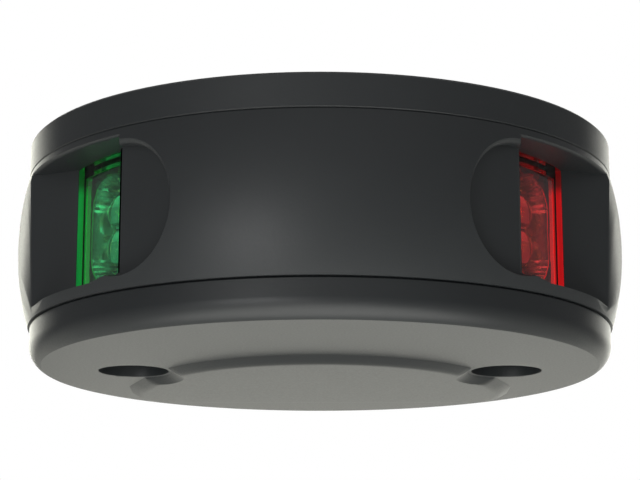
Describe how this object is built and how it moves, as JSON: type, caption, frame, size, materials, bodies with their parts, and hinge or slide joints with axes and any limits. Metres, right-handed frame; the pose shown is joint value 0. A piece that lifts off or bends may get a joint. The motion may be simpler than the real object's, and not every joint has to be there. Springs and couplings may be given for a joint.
{
  "type": "navigation light",
  "caption": "Small round bicolour LED navigation light in black plastic, hung by its flat face, with a green window to starboard and a red one to port.",
  "frame": {"origin": "centre of the flat mounting face", "axes": "+Z out of the mounting face, towards the surface that the light hangs from; -Y dead ahead; +X port (red), -X starboard (green)"},
  "size_m": [0.0866, 0.0866, 0.0325],
  "materials": {
    "housing_plastic": "fine moulded grain",
    "cover_plastic": "fine moulded grain",
    "rubber": "moulded",
    "vent_film": "porous film",
    "sleeve_brass": "turned",
    "stainless": "bright stainless",
    "green_lens": "clear green, polished",
    "red_lens": "clear red, polished",
    "screen_plastic": "matt black",
    "clear_optic": "clear, polished",
    "led_phosphor": "phosphor under silicone",
    "circuit_board": "solder mask",
    "led_board_white": "white solder mask",
    "bright_reflector": "vacuum metallised",
    "bracket_aluminium": "as rolled",
    "green_wire": "PVC",
    "red_wire": "PVC",
    "chip_epoxy": "moulded epoxy",
    "ferrite": "pressed",
    "can_sleeve": "shrunk sleeve",
    "terminal_plastic": "moulded"
  },
  "bodies": {
    "root": {"base_plate": "housing_plastic", "mounting_gasket": "rubber", "base_seal": "rubber", "vent_membrane": "vent_film", "cable_grommet": "rubber", "barrel": "housing_plastic", "cover": "cover_plastic", "cover_seal": "rubber", "screw_sleeves": "sleeve_brass", "assembly_screws": "stainless", "starboard_lens": "green_lens", "starboard_lens_seal": "rubber", "starboard_light_screen": "screen_plastic", "starboard_reflector": "bright_reflector", "starboard_optic": "clear_optic", "starboard_leds": "led_phosphor", "starboard_led_board": "led_board_white", "starboard_heat_bracket": "bracket_aluminium", "starboard_leads": "green_wire", "port_lens": "red_lens", "port_lens_seal": "rubber", "port_light_screen": "screen_plastic", "port_reflector": "bright_reflector", "port_optic": "clear_optic", "port_leds": "led_phosphor", "port_led_board": "led_board_white", "port_heat_bracket": "bracket_aluminium", "port_leads": "red_wire", "bracket_screws": "stainless", "driver_board": "circuit_board", "board_screws": "stainless", "driver_chip": "chip_epoxy", "inductor": "ferrite", "capacitors": "can_sleeve", "surge_diodes": "chip_epoxy", "terminal_block": "terminal_plastic", "terminal_screws": "stainless"}
  },
  "joints": []
}
